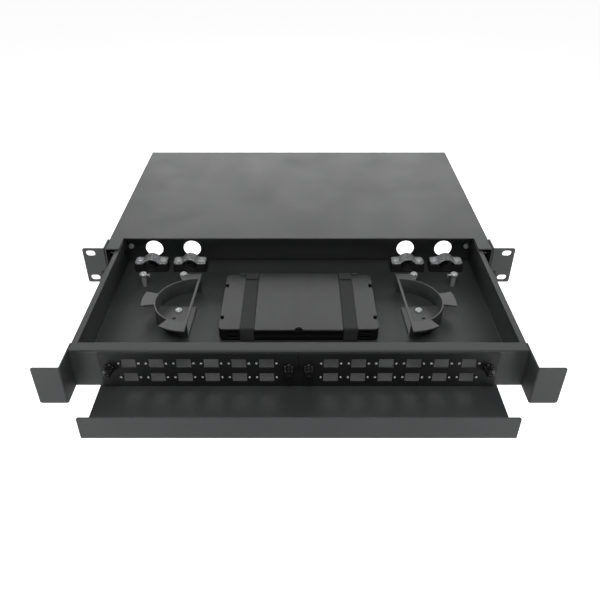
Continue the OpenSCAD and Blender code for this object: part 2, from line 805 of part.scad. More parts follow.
module splice_tray(level) {
    wall = 1.6;
    z0 = splice_z0 + level * splice_tray_h;
    color(plastic) difference() {
        union() {
            translate([0, 0, z0]) linear_extrude(splice_tray_h - 0.1) splice_outline(0);
            // Feet that leave room for the straps
            if (level == 0) for (x = [-70, 70], y = [-40, 40])
                translate([x, splice_y + y, floor_z]) cylinder(r = 5, h = foot_h + eps);
        }
        translate([0, 0, z0 + wall]) linear_extrude(splice_tray_h) splice_outline(wall);
        // Fibre entries at the front and back corners
        for (x = [-66, 66]) box([x - 5, x + 5], [splice_y - splice_d, splice_y + splice_d],
                                [z0 + wall + 1, z0 + splice_tray_h - 1]);
        // Shadow groove around the rim, where the next piece stacks
        for (s = [-1, 1]) translate([0, splice_y + s * splice_d / 2, z0 + 4.3])
            box([-60, 60], [-0.6, 0.6], [0, 0.6]);
    }
}

// Racks for the splice protectors, one in each tray
module splice_combs() {
    slots = 12;
    pitch = 3.6;
    color("#3a3d42") for (level = [0, 1])
        translate([0, splice_y, splice_z0 + level * splice_tray_h + 1.6]) difference() {
            box([-slots * pitch / 2 - 2, slots * pitch / 2 + 2], [-20, 20], [0, 3.6]);
            for (i = [0 : slots - 1]) translate([(i - (slots - 1) / 2) * pitch - 1.3, -21, 1])
                cube([2.6, 42, 3]);
        }
}

module splice_cover() {
    centre_half = 44;
    lug_x = strap_x + strap_w / 2 + 0.8;
    lug_w = 5.6;
    color(plastic) translate([0, 0, cover_z]) difference() {
        union() {
            linear_extrude(cover_t) splice_outline(0);
            // The middle of the lid stands proud of the rest
            translate([0, splice_y, 0]) box([-centre_half, centre_half], [-splice_d / 2 - 1.8, splice_d / 2 + 1.8],
                                            [0, cover_t + 0.5]);
            // Finger lugs at the back
            on_both_sides() box([lug_x, lug_x + lug_w], [splice_y + splice_d / 2 - 2, splice_y + splice_d / 2 + 0.6],
                                [0, cover_t + 2.4]);
        }
        // Hinge notches in the side edges
        on_both_sides() for (y = [splice_y - 30, splice_y + 28])
            box([splice_w / 2 - 4, splice_w / 2 + eps], [y - 3, y + 3], [-eps, cover_t + eps]);
        // Finger notch in the front edge
        translate([0, splice_y - splice_d / 2 - 1.8, -eps]) cylinder(r = 4, h = 4);
    }
}

// Closed loop around the trays and the cover
module strap(side) {
    y0 = splice_y - splice_d / 2 - strap_gap;
    y1 = splice_y + splice_d / 2 + strap_gap;
    z0 = splice_z0 - strap_gap;
    z1 = cover_z + cover_t + strap_gap;
    color(strap_colour) on_side(side) along_x(strap_x - strap_w / 2, strap_x + strap_w / 2) difference() {
        round_rect([y0 - strap_t, z0 - strap_t], [y1 + strap_t, z1 + strap_t], strap_t + 0.1);
        rect([y0, z0], [y1, z1]);
    }
}

// ---------- Nodes ----------

sleeve_cover();
rear_tie();
tie_rivets();
ear(-1);  // ear_left
ear(1);  // ear_right
ear_screws();
ear_plugs();
slide_outer(-1);  // slide_outer_left
slide_outer(1);  // slide_outer_right
slide_outer_screws();
ball_cage(-1);  // ball_cage_left
ball_cage(1);  // ball_cage_right
slide_balls(-1);  // slide_balls_left
slide_balls(1);  // slide_balls_right
slide_inner(-1);  // slide_inner_left
slide_inner(1);  // slide_inner_right
slide_inner_screws();
drawer_pan();
drawer_rear();
corner_screws();
drawer_front();
bracket(-1);  // bracket_left
bracket(1);  // bracket_right
bracket_screws();
front_tray();
tray_screws();
adapter_panel(-1);  // adapter_panel_left
adapter_panel(1);  // adapter_panel_right
adapter_nuts(-1);  // adapter_nuts_left
adapter_nuts(1);  // adapter_nuts_right
latch_grommets();
latch_plunger(0);  // latch_plunger_1
latch_plunger(1);  // latch_plunger_2
latch_plunger(2);  // latch_plunger_3
latch_plunger(3);  // latch_plunger_4
clamp_blocks();
cable_saddles();
saddle_screws();
strength_posts();
post_tags();
post_screws();
spool(-1);  // spool_left
spool(1);  // spool_right
spool_screws();
splice_tray(0);  // splice_tray_lower
splice_tray(1);  // splice_tray_upper
splice_combs();
splice_cover();
strap(-1);  // strap_left
strap(1);  // strap_right
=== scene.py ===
"""Studio picture of a drawer-type fibre termination box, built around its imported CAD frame."""
import json
import math

import bmesh
import bpy
from mathutils import Matrix, Vector


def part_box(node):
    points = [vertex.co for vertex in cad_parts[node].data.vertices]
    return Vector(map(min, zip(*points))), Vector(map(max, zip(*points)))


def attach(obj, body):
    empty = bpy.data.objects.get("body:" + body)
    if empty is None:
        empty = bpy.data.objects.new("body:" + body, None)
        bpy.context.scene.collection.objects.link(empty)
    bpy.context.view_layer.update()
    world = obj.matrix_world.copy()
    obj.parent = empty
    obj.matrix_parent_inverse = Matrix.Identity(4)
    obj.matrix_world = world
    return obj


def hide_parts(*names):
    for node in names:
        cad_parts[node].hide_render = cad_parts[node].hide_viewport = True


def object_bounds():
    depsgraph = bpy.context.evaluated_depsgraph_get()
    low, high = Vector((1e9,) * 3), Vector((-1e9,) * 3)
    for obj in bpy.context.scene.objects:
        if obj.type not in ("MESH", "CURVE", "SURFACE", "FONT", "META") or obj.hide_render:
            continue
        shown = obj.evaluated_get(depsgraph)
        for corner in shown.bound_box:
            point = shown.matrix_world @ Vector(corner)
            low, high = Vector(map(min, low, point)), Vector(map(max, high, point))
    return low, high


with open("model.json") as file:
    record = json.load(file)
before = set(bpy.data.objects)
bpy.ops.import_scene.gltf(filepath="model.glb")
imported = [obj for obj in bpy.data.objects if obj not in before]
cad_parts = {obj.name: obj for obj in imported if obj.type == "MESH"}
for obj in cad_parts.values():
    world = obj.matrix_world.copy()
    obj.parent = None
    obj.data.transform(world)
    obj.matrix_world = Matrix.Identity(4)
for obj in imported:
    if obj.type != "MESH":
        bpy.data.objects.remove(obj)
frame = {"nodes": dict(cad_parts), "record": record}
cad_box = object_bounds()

MM = 0.001
NODES = frame["nodes"]
SLOTS = {part["node"]: part["material_slot"] for part in frame["record"]["subparts"]}

# Sizes in millimetres that the frame's boxes don't hold
SADDLE_T = 1.5       # cable saddle: sheet, span of its arch and height of its rib
SADDLE_SPAN = 17.2
RIB_H = 0.35
HEAD_TOP = 1.4       # clinch nut: depth behind its head
FLANGE_T = 2.2       # latch grommet: flange thickness, and how much smaller than its box it is
FLANGE_TRIM = 0.9
KNOB_LEN = 6.5       # latch plunger: length of its knob
STRAP_STEP = 0.5     # strap: spacing of its cross sections and of its weave
WEAVE = 1.5
# Turns of the screws' recesses, in radians: the first one's and from one to the next
FIRST_TWIST = 0.3
TWIST_STEP = 0.9

# Lights around the box: turn and rise in degrees, size in metres and power in watts
LIGHT_DISTANCE = 1.6
LIGHTS_AROUND = {
    "back_low": (0, 12, 1.3, 14.0),
    "back_left": (-45, 30, 1.3, 6.3),
    "back_right": (45, 30, 1.3, 6.3),
    "high_front": (180, 60, 1.0, 9.8),
}
# Two low lights beside the front, in metres and watts
LOW_SIDE_X = 0.75
LOW_SIDE_YZ = (-0.75, -0.12)
LOW_SIDE_SIZE = 0.6
LOW_SIDE_POWER = 4.3
# Light of the white surroundings on the box, of 1 for the camera
AMBIENT = 0.006


# ---------- Materials ----------

def new_material(name):
    """A material with one Principled shader; returns it with its tree and shader."""
    material = bpy.data.materials.new(name)
    material.use_nodes = True
    tree = material.node_tree
    return material, tree, tree.nodes["Principled BSDF"]


def add(tree, kind, settings=None, **inputs):
    """Adds a shader node. Inputs are values, or sockets of other nodes; spaces in names are underscores."""
    node = tree.nodes.new("ShaderNode" + kind)
    for key, value in (settings or {}).items():
        setattr(node, key, value)
    for key, value in inputs.items():
        plug(tree, node, key.replace("_", " "), value)
    return node


def plug(tree, node, key, value):
    """Sets an input of a node, by its name or as i and its number, to a value or another node's socket."""
    target = node.inputs[int(key[1:])] if key[0] == "i" and key[1:].isdigit() else node.inputs[key]
    if isinstance(value, bpy.types.NodeSocket):
        tree.links.new(value, target)
    else:
        target.default_value = value


def grey(value, tint=0.0):
    """A linear grey, slightly cool when tint is above zero."""
    return (value * (1 - tint), value, value * (1 + tint), 1)


def scaled_position(tree, x=1.0, y=1.0, z=1.0):
    """Object position in millimetres, stretched along each axis."""
    place = add(tree, "TexCoord")
    scale = add(tree, "Mapping", Vector=place.outputs["Object"])
    scale.inputs["Scale"].default_value = (1000 * x, 1000 * y, 1000 * z)
    return scale.outputs["Vector"]


def noise(tree, where, scale, detail=2.0, roughness=0.5):
    """Cloudy noise from 0 to 1 with a number of waves to a millimetre."""
    return add(tree, "TexNoise", Vector=where, Scale=scale, Detail=detail, Roughness=roughness).outputs["Fac"]


def ramp(tree, factor, low, high, out_low, out_high):
    """Maps a range of a factor onto another range, clamped."""
    return add(tree, "MapRange", i0=factor, i1=low, i2=high, i3=out_low, i4=out_high).outputs["Result"]


def math_node(tree, operation, a, b):
    """The sum, difference or product of two values or sockets."""
    return add(tree, "Math", {"operation": operation}, i0=a, i1=b).outputs["Value"]


def mix_colour(tree, factor, a, b):
    """Colour a where the factor is 0 and b where it is 1."""
    return add(tree, "Mix", {"data_type": "RGBA"}, i0=factor, i6=a, i7=b).outputs[2]


def edge_mask(tree, radius_mm):
    """Near 1 on outer and inner edges within a radius, 0 on flat faces."""
    rounded = add(tree, "Bevel", {"samples": 6}, Radius=radius_mm * MM).outputs["Normal"]
    flat = add(tree, "NewGeometry").outputs["Normal"]
    aligned = add(tree, "VectorMath", {"operation": "DOT_PRODUCT"}, i0=rounded, i1=flat).outputs["Value"]
    return ramp(tree, aligned, 0.995, 0.80, 0.0, 1.0), rounded


def bump(tree, height, distance_mm, normal):
    """A normal bent by a height map, which stands for a fine grain only."""
    settings = {"Height": height, "Distance": distance_mm * MM, "Strength": 1.0, "Normal": normal}
    return add(tree, "Bump", **settings).outputs["Normal"]


def powder_coat(name, tone, roughness, grain_mm=0.55, grain_height=0.035, wear_and_highlight=0.5):
    """Fine-textured black powder coat on sheet steel, lighter along its edges: partly thinner paint, partly a
    painted highlight.
    """
    material, tree, shader = new_material(name)
    where = scaled_position(tree)
    wear_and_highlight_mask, rounded = edge_mask(tree, 0.35)
    cloud = noise(tree, where, 0.02, 3.0)
    speckle = noise(tree, where, 2.4, 2.0)
    shade = ramp(tree, cloud, 0.3, 0.7, 0.0, 1.0)
    base = mix_colour(tree, shade, grey(tone * 0.92, 0.03), grey(tone * 1.08, 0.03))
    fleck = ramp(tree, speckle, 0.62, 0.72, 0.0, 0.30)
    base = mix_colour(tree, fleck, base, grey(tone * 1.9, 0.02))
    # Edges painted lighter: partly thinner paint, partly a painted highlight along them.
    base = mix_colour(tree, math_node(tree, "MULTIPLY", wear_and_highlight_mask, wear_and_highlight), base, grey(tone * 3.2, 0.03))
    plug(tree, shader, "Base Color", base)
    uneven = math_node(tree, "ADD", ramp(tree, cloud, 0.3, 0.7, -0.04, 0.04), roughness)
    polish = math_node(tree, "MULTIPLY", wear_and_highlight_mask, 0.08)
    plug(tree, shader, "Roughness", math_node(tree, "SUBTRACT", uneven, polish))
    peel = noise(tree, where, 1 / grain_mm, 3.0, 0.6)
    lumps = add(tree, "TexVoronoi", Vector=where, Scale=1.5 / grain_mm).outputs["Distance"]
    height = math_node(tree, "ADD", peel, math_node(tree, "MULTIPLY", lumps, 0.5))
    plug(tree, shader, "Normal", bump(tree, height, grain_height, rounded))
    return material


def moulded_plastic(name, tone, roughness, grain_height=0.02, gloss=0.5):
    """Moulded black plastic with a fine spark-eroded grain and faint flow marks."""
    material, tree, shader = new_material(name)
    where = scaled_position(tree)
    wear_and_highlight_mask, rounded = edge_mask(tree, 0.25)
    flow = noise(tree, scaled_position(tree, 1.0, 0.3, 1.0), 0.06, 2.0)
    shade = ramp(tree, flow, 0.35, 0.65, 0.0, 1.0)
    base = mix_colour(tree, shade, grey(tone * 0.9, 0.02), grey(tone * 1.12, 0.02))
    # Edges painted lighter: partly wear, partly a painted highlight.
    base = mix_colour(tree, math_node(tree, "MULTIPLY", wear_and_highlight_mask, 0.35), base, grey(tone * 2.4, 0.02))
    plug(tree, shader, "Base Color", base)
    plug(tree, shader, "Roughness", ramp(tree, flow, 0.3, 0.7, roughness - 0.05, roughness + 0.05))
    grain = noise(tree, where, 5.0, 2.0, 0.7)
    plug(tree, shader, "Normal", bump(tree, grain, grain_height, rounded))
    shader.inputs["Specular IOR Level"].default_value = gloss
    return material


def plated_metal(name, tone, roughness, streak=(1.0, 1.0, 1.0), scratch=0.5, metal=1.0,
                 mottle=0.14, spots=0.25):
    """Plated metal with rolled or turned streaks, stains, and lighter edges that are partly polish and partly
    a painted highlight.

    metal below 1 gives the plating a diffuse part, mottle is how dark its stains are and spots how many there
    are to a mm. A near-white tone with a low metal paints in the brightness of reflections, and deep, dense
    mottle on it paints in their dark patches.
    """
    material, tree, shader = new_material(name)
    where = scaled_position(tree, *streak)
    wear_and_highlight_mask, rounded = edge_mask(tree, 0.15)
    lines = noise(tree, where, 3.0, 4.0, 0.65)
    # Dark patches: stains on most metals, and a painted reflection on the saddles.
    stain_and_reflection_patches = noise(tree, scaled_position(tree), spots, 3.0)
    shade = ramp(tree, stain_and_reflection_patches, 0.35, 0.7, 0.0, 1.0)
    base = mix_colour(tree, shade, grey(tone, 0.015), grey(tone * (1 - mottle)))
    # Edges painted lighter: partly polish, partly a painted highlight.
    base = mix_colour(tree, math_node(tree, "MULTIPLY", wear_and_highlight_mask, 0.4), base, grey(min(1.0, tone * 1.3), 0.01))
    plug(tree, shader, "Base Color", base)
    shader.inputs["Metallic"].default_value = metal
    plug(tree, shader, "Roughness", ramp(tree, lines, 0.3, 0.7, roughness * 0.75, roughness * 1.25))
    plug(tree, shader, "Normal", bump(tree, lines, 0.012 * scratch, rounded))
    return material


MATERIALS = {
    "powder_coat": powder_coat("powder_coat", 0.060, 0.48),
    "panel_coat": powder_coat("panel_coat", 0.016, 0.42, grain_mm=0.4, grain_height=0.02, wear_and_highlight=0.35),
    "slide_steel": plated_metal("slide_steel", 0.10, 0.38, (1.0, 0.04, 1.0)),
    "zinc": plated_metal("zinc", 0.72, 0.28, metal=0.45),
    # Painted reflection: the chrome is a near-white, mostly diffuse colour that stands in for its bright
    # reflections.
    "chrome": plated_metal("chrome", 0.98, 0.20, metal=0.2),
    "black_plastic": moulded_plastic("black_plastic", 0.022, 0.42),
    "comb_plastic": moulded_plastic("comb_plastic", 0.05, 0.6),
    "strap_fabric": moulded_plastic("strap_fabric", 0.048, 0.85, 0.06),
}
# Painted reflection: near-white, mostly diffuse plating with deep, dense dark patches stands in for the
# saddles' chrome reflections.
SADDLE_PLATE_PAINTED_REFLECTION = plated_metal("saddle_plate_painted_reflection", 0.98, 0.22, scratch=6.0, metal=0.2, mottle=0.85, spots=0.7)
NUT_BLACK = plated_metal("nut_black", 0.05, 0.4)
LATCH_BLACK = moulded_plastic("latch_black", 0.010, 0.22, 0.006)
# Lit and shaded copies of the black plastic: the spools and the splice cover are painted lighter for the
# light falling on them, and the splice trays are painted darker for the shade in the drawer.
SPOOL_PLASTIC_PAINTED_LIGHT = moulded_plastic("spool_plastic_painted_light", 0.095, 0.38)
COVER_PLASTIC_PAINTED_LIGHT = moulded_plastic("cover_plastic_painted_light", 0.066, 0.42)
TRAY_PLASTIC_PAINTED_SHADE = moulded_plastic("tray_plastic_painted_shade", 0.006, 0.5, gloss=0.25)
NODE_MATERIALS = {
    "spool_left": SPOOL_PLASTIC_PAINTED_LIGHT,
    "spool_right": SPOOL_PLASTIC_PAINTED_LIGHT,
    "splice_cover": COVER_PLASTIC_PAINTED_LIGHT,
    "splice_tray_lower": TRAY_PLASTIC_PAINTED_SHADE,
    "splice_tray_upper": TRAY_PLASTIC_PAINTED_SHADE,
}

# CAD nodes by the width of the rounding on their edges, in millimetres
EDGE_WIDTHS = {
    0.12: ["post_tags"],
    0.15: ["adapter_panel_left", "adapter_panel_right"],
    0.2: ["ear_plugs", "splice_combs"],
    0.25: ["sleeve_cover", "rear_tie", "drawer_pan", "drawer_rear", "drawer_front", "bracket_left",
           "bracket_right", "front_tray", "strength_posts"],
    0.3: ["ear_left", "ear_right", "splice_tray_lower", "splice_tray_upper"],
    0.35: ["spool_left", "spool_right", "splice_cover"],
    0.4: ["clamp_blocks"],
}


# ---------- Mesh tools, in millimetres ----------

def solids_of(node):
    """The points of each separate solid of a CAD node, in millimetres, in a fixed order."""
    mesh = NODES[node].data
    keys = [tuple(round(c / MM, 3) for c in vertex.co) for vertex in mesh.vertices]
    leader = {key: key for key in keys}

    def find(key):
        while leader[key] != key:
            leader[key] = leader[leader[key]]
            key = leader[key]
        return key

    for edge in mesh.edges:
        a, b = (find(keys[i]) for i in edge.vertices)
        leader[a] = b
    groups = {}
    for key in leader:
        groups.setdefault(find(key), []).append(Vector(key))
    return sorted(groups.values(), key=lambda points: tuple(round(c) for c in corners_of(points)[0]))


def corners_of(points):
    """The lowest and highest corner of some points."""
    return tuple(Vector(pick(point[axis] for point in points) for axis in range(3)) for pick in (min, max))


def box_mm(node):
    """The lowest and highest corner of a CAD node, in millimetres."""
    low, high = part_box(node)
    return low / MM, high / MM


def skin(loops, closed=False):
    """A mesh of faces between loops of points; a loop of one point is a pole."""
    mesh = bmesh.new()
    rings = [[mesh.verts.new(point) for point in loop] for loop in loops]
    pairs = list(zip(rings, rings[1:]))
    if closed:
        pairs.append((rings[-1], rings[0]))
    for low, high in pairs:
        for k in range(max(len(low), len(high))):
            here, there = k % len(low), (k + 1) % len(low)
            around = [low[here], low[there], high[(k + 1) % len(high)], high[k % len(high)]]
            corners = [corner for i, corner in enumerate(around) if corner not in around[:i]]
            if len(corners) > 2:
                mesh.faces.new(corners)
    if not closed:
        for ring in (rings[0], rings[-1]):
            if len(ring) > 2:
                mesh.faces.new(ring)
    bmesh.ops.recalc_face_normals(mesh, faces=mesh.faces)
    return mesh


def lathe(profile, steps, closed=False, wave=None):
    """Turns (radius, height) points about Z. wave(angle, radius) may change a radius."""
    loops = []
    for radius, height in profile:
        turns = steps if radius > 1e-6 else 1
        loop = []
        for k in range(turns):
            angle = 2 * math.pi * k / turns
            reach = wave(angle, radius) if wave and turns > 1 else radius
            loop.append((reach * math.cos(angle), reach * math.sin(angle), height))
        loops.append(loop)
    return skin(loops, closed)


def softened(points, steps):
    """A plane polyline of (x, y, corner size) with each corner turned into a short curve."""
    out = []
    for i, (x, y, size) in enumerate(points):
        here = Vector((x, y))
        if size <= 0 or i in (0, len(points) - 1):
            out.append(here)
            continue
        legs = [Vector(points[i + side][:2]) - here for side in (-1, 1)]
        start, end = (here + leg.normalized() * min(size, leg.length * 0.49) for leg in legs)
        for k in range(steps + 1):
            t = k / steps
            out.append(start * (1 - t) ** 2 + here * 2 * t * (1 - t) + end * t * t)
    return [tuple(point) for point in out]


def band_section(half_w, half_t, radius):
    """Points around a flat bar's section with rounded corners, as (across, out)."""
    steps = 3
    points = []
    for quarter, (sx, sy) in enumerate(((1, 1), (-1, 1), (-1, -1), (1, -1))):
        for k in range(steps + 1):
            angle = math.pi / 2 * (quarter + k / steps)
            points.append((sx * (half_w - radius) + radius * math.cos(angle),
                           sy * (half_t - radius) + radius * math.sin(angle)))
    return points


def left_normals(path):
    """Unit normals of an open plane polyline, to the left of its direction."""
    out = []
    for i in range(len(path)):
        along = Vector(path[min(i + 1, len(path) - 1)]) - Vector(path[max(i - 1, 0)])
        out.append(Vector((-along.y, along.x)).normalized())
    return out


def stamp(target, template, matrix):
    """Adds a copy of one mesh to another, moved by a matrix."""
    data = bpy.data.meshes.new("stamp")
    template.to_mesh(data)
    data.transform(matrix)
    target.from_mesh(data)
    bpy.data.meshes.remove(data)


def facing(place, direction, twist=0.0):
    """A matrix that sets a template at a place with its +Z along a direction."""
    turn = Vector(direction).to_track_quat("Z", "Y").to_matrix().to_4x4()
    return Matrix.Translation(place) @ turn @ Matrix.Rotation(twist, 4, "Z")


def carved(mesh, cutter, width, angle):
    """A mesh with a cutter taken out of it and its sharp edges rounded."""
    items = []
    for part in (mesh, cutter):
        data = bpy.data.meshes.new("work")
        part.to_mesh(data)
        part.free()
        items.append(bpy.data.objects.new("work", data))
        bpy.context.scene.collection.objects.link(items[-1])
    item = items[0]
    cut = item.modifiers.new("cut", "BOOLEAN")
    cut.object = items[1]
    cut.solver = "EXACT"
    edge = item.modifiers.new("edge", "BEVEL")
    edge.width = width
    edge.segments = 1
    edge.limit_method = "ANGLE"
    edge.angle_limit = math.radians(angle)
    out = bmesh.new()
    out.from_object(item, bpy.context.evaluated_depsgraph_get())
    for work in items:
        data = work.data
        bpy.data.objects.remove(work)
        bpy.data.meshes.remove(data)
    return out


def make_piece(name, mesh, body, slot, replaced, materials=None, crease=38):
    """Turns a mesh in millimetres into a shown piece that rides on a body and stands for CAD nodes."""
    bmesh.ops.scale(mesh, vec=(MM, MM, MM), verts=mesh.verts)
    data = bpy.data.meshes.new(name)
    mesh.to_mesh(data)
    mesh.free()
    data.polygons.foreach_set("use_smooth", [True] * len(data.polygons))
    data.set_sharp_from_angle(angle=math.radians(crease))
    for material in materials or [MATERIALS[slot]]:
        data.materials.append(material)
    piece = bpy.data.objects.new(name, data)
    bpy.context.scene.collection.objects.link(piece)
    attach(piece, body)
    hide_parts(*replaced)


# ---------- Rounded edges on CAD nodes ----------

def round_edges(node, width_mm):
    """Rounds the sharp edges of a CAD node with modifiers, unless that would change its box."""
    item = NODES[node]
    weld = item.modifiers.new("weld", "WELD")
    weld.merge_threshold = 1e-6
    flat = item.modifiers.new("flat", "DECIMATE")
    flat.decimate_type = "DISSOLVE"
    flat.angle_limit = math.radians(1)
    edge = item.modifiers.new("edge", "BEVEL")
    edge.width = width_mm * MM
    edge.segments = 2
    edge.limit_method = "ANGLE"
    edge.angle_limit = math.radians(40)
    edge.use_clamp_overlap = False
    shown = item.evaluated_get(bpy.context.evaluated_depsgraph_get())
    low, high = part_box(node)
    slack = 0.02 * MM
    for corner in shown.bound_box:
        if any(not low[i] - slack <= corner[i] <= high[i] + slack for i in range(3)):
            item.modifiers.clear()
            print("edges left sharp:", node)
            return


# ---------- Screws ----------

def cross_prism(levels, arm, reach):
    """An upright prism with a cross section, given as (height, spread) levels."""
    quarter = ((reach, -arm), (reach, arm), (arm, arm))
    corners = [Matrix.Rotation(math.pi / 2 * k, 2) @ Vector(point) for k in range(4) for point in quarter]
    return skin([[(point.x * spread, point.y * spread, z) for point in corners] for z, spread in levels])


def screw_template(radius, height, shank_r, shank, dome=0.62, recess=0.56):
    """A domed screw with a cross recess: its seat is at z = 0 and its head points up."""
    side = height * (1 - dome)
    tip = 0.25
    profile = [(0, -shank), (shank_r - tip, -shank), (shank_r, -shank + tip), (shank_r, 0), (radius, 0),
               (radius, side)]
    rings = 14
    for k in range(1, rings):
        angle = math.pi / 2 * k / rings
        profile.append((radius * math.cos(angle), side + (height - side) * math.sin(angle)))
    profile.append((0, height))
    arm, reach, floor = radius * recess * 0.23, radius * recess, height * 0.42
    cutter = cross_prism(((floor, 0.6), (height + 1, 1.3)), arm, reach)
    return carved(lathe(profile, 40), cutter, 0.07, 50)


def fastener_spans(points, axis, sign):
    """A CAD fastener's centre, head radius and shank radius, and the levels of its seat, tip and top."""
    low, high = corners_of(points)
    place = (low + high) / 2
    spans = [(math.hypot(*(point[i] - place[i] for i in range(3) if i != axis)), sign * point[axis])
             for point in points]
    radius = max(span for span, _ in spans)
    seat = min(level for span, level in spans if span > 0.9 * radius)
    shank_r = max(span for span, level in spans if level < seat - 0.2)
    levels = [level for _, level in spans]
    return place, radius, shank_r, seat, min(levels), max(levels)


def screws(node, direction, body, slot, outwards=False, **shape):
    """Domed screws in the places of a CAD node's plain ones; a head is at the far end of the direction."""
    axis = max(range(3), key=lambda i: abs(direction[i]))
    mesh = bmesh.new()
    template = None
    for count, points in enumerate(solids_of(node)):
        sign = 1 if direction[axis] > 0 else -1
        if outwards and corners_of(points)[1].x < 0:
            sign = -sign
        place, radius, shank_r, seat, tip, top = fastener_spans(points, axis, sign)
        if template is None:
            template = screw_template(radius, top - seat, shank_r, seat - tip, **shape)
        place[axis] = sign * seat
        along = Vector((0, 0, 0))
        along[axis] = sign
        stamp(mesh, template, facing(place, along, FIRST_TWIST + TWIST_STEP * count))
    template.free()
    make_piece(node + "_domed", mesh, body, slot, [node])


# ---------- Cable saddles ----------

def saddle_template(half_w, half_d, height):
    """A stamped strap: an arch between two feet, standing on z = 0, with rounded ends and edges."""
    t = SADDLE_T
    bend = 2.2
    half_span = SADDLE_SPAN / 2
    rise = height - t
    inner_r = (half_span ** 2 + rise ** 2) / (2 * rise)
    centre_z = rise - inner_r
    middle_r = inner_r + t / 2
    foot_a = math.asin((t / 2 - centre_z) / middle_r)
    start_a = foot_a + bend / middle_r
    corner_x = middle_r * math.cos(foot_a)
    foot_step, corner_r, rib_half_w = 0.6, 3.2, 2.1
    right = [(half_w - k * foot_step, t / 2) for k in range(9)]
    corner = (corner_x, t / 2)
    landing = (corner_x + bend, t / 2)
    rising = (middle_r * math.cos(start_a), centre_z + middle_r * math.sin(start_a))
    for k in range(7):
        u = k / 6
        pulls = list(zip(((1 - u) ** 2, 2 * u * (1 - u), u * u), (landing, corner, rising)))
        right.append(tuple(sum(share * point[i] for share, point in pulls) for i in (0, 1)))
    for k in range(1, 17):
        angle = start_a + (math.pi / 2 - start_a) * k / 16
        right.append((middle_r * math.cos(angle), centre_z + middle_r * math.sin(angle)))
    right = [point for i, point in enumerate(right) if i == 0 or point[0] < right[i - 1][0] - 1e-4]
    path = right + [(-x, z) for x, z in reversed(right[:-1])]
    loops = []
    for (x, z), normal in zip(path, left_normals(path)):
        inset = max(0.0, corner_r - (half_w - abs(x)))
        depth = half_d - corner_r + math.sqrt(max(0.0, corner_r ** 2 - inset ** 2))
        # A rib pressed along the arch
        rib = RIB_H * max(0.0, 1 - (abs(x) / (half_span - 1)) ** 4) if abs(x) < half_span - 1 else 0.0
        loop = []
        for across, out in saddle_section(depth, t / 2):
            lift = out + rib * math.exp(-(across / rib_half_w) ** 4)
            loop.append((x - normal.x * lift, across, z - normal.y * lift))
        loops.append(loop)
    return skin(loops)


def saddle_section(half_d, half_t):
    """Points around the section of a flat strap with rounded edges, finely divided across its middle."""
    edge = 0.45
    rounds = band_section(half_d, half_t, edge)
    middle = [half_d * 0.62 * (k / 6 - 1) for k in range(13)]
    quarter = len(rounds) // 4
    top = [(across, half_t) for across in reversed(middle)]
    bottom = [(across, -half_t) for across in middle]
    return rounds[:quarter] + top + rounds[quarter:3 * quarter] + bottom + rounds[3 * quarter:]


def cable_saddles():
    """The four bright saddles over the clamp blocks."""
    mesh = bmesh.new()
    for points in solids_of("cable_saddles"):
        low, high = corners_of(points)
        half = (high - low) / 2
        template = saddle_template(half.x, half.y, high.z - low.z - RIB_H)
        stamp(mesh, template, Matrix.Translation(((low.x + high.x) / 2, (low.y + high.y) / 2, low.z)))
        template.free()
    make_piece("saddles_stamped", mesh, "drawer", "chrome", ["cable_saddles"], [SADDLE_PLATE_PAINTED_REFLECTION])


# ---------- Adapter nuts ----------

def adapter_nuts(side):
    """Clinch nuts: a black shell around a bright bore, with a wider head behind the panel."""
    node = "adapter_nuts_" + side
    mesh = bmesh.new()
    for points in solids_of(node):
        low, high = corners_of(points)
        depth = high.y - low.y
        head_r = (high.x - low.x) / 2
        body_r = head_r * 0.7
        bore_r = head_r * 0.35
        head_t = depth - HEAD_TOP
        profile = [(bore_r, -depth + 0.2), (bore_r + 0.2, -depth), (head_r - 0.2, -depth),
                   (head_r, -depth + 0.2), (head_r, -head_t - 0.12), (head_r - 0.12, -head_t),
                   (body_r, -head_t), (body_r, -0.15), (body_r - 0.15, 0), (bore_r + 0.3, 0), (bore_r, -0.3)]
        ring = lathe(profile, 32, closed=True)
        for face in ring.faces:
            reach = max(math.hypot(corner.co.x, corner.co.y) for corner in face.verts)
            face.material_index = 1 if reach < bore_r + 0.35 else 0
        stamp(mesh, ring, facing(((low.x + high.x) / 2, low.y, (low.z + high.z) / 2), (0, -1, 0)))
        ring.free()
    make_piece(node + "_clinch", mesh, "drawer", "zinc", [node], [NUT_BLACK, MATERIALS["zinc"]])


# ---------- Latches ----------

